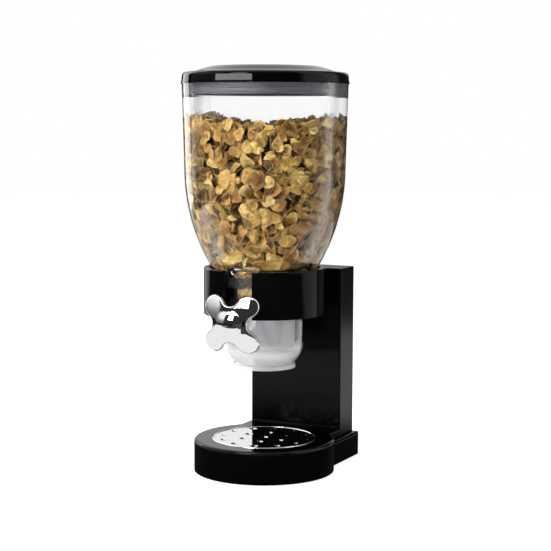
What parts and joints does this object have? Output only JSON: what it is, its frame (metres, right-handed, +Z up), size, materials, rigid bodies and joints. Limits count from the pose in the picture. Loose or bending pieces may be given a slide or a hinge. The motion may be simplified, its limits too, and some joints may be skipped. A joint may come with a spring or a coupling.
{
  "type": "cereal_dispenser",
  "caption": "Countertop cereal dispenser: clear goblet hopper in a gloss black stand, chrome four-lobed knob turning a soft paddle wheel, perforated crumb grille",
  "frame": {"origin": "the point on the table under the middle of the whole object's outline, at the lower face of the feet", "axes": "+Z up, the front with the knob faces -Y, +X to the right seen from the front"},
  "size_m": [0.1618, 0.1862, 0.394],
  "materials": {
    "black_gloss": "high gloss black plastic",
    "black_matte": "satin black plastic",
    "rubber": "soft black rubber",
    "steel": "plain stainless steel",
    "chrome": "mirror chrome",
    "clear_plastic": "clear plastic",
    "frosted_plastic": "translucent light grey plastic",
    "grey_plastic": "light grey plastic",
    "silicone": "soft translucent grey silicone"
  },
  "bodies": {
    "stand": {"base_shell": "black_gloss", "base_plate": "black_matte", "base_feet": "rubber", "base_screws": "steel", "column_shell": "black_gloss", "column_cover": "black_matte", "cover_screws": "steel", "column_screws": "steel", "collar": "black_gloss", "collar_screws": "steel"},
    "grille": {"crumb_grille": "chrome"},
    "canister": {"hopper": "clear_plastic", "metering_tube": "frosted_plastic", "outlet_cup": "clear_plastic", "front_bushing": "grey_plastic", "rear_bushing": "grey_plastic"},
    "wheel": {"shaft": "steel", "paddle_core": "grey_plastic", "paddle_wheel": "silicone", "knob": "chrome", "knob_washer": "grey_plastic"},
    "lid": {"lid_cap": "black_gloss", "lid_plug": "grey_plastic", "lid_seal": "silicone"}
  },
  "joints": [
    {"name": "grille_lift", "type": "slide", "parent": "stand", "child": "grille", "axis": [0, 0, 1], "range_m": [0, 0.04]},
    {"name": "canister_lift", "type": "slide", "parent": "stand", "child": "canister", "axis": [0, 0, 1], "range_m": [0, 0.11]},
    {"name": "wheel_turn", "type": "hinge", "parent": "canister", "child": "wheel", "pos_m": [0, -0.01215, 0.1528], "axis": [0, -1, 0], "continuous": true},
    {"name": "lid_lift", "type": "slide", "parent": "canister", "child": "lid", "axis": [0, 0, 1], "range_m": [0, 0.05]}
  ]
}
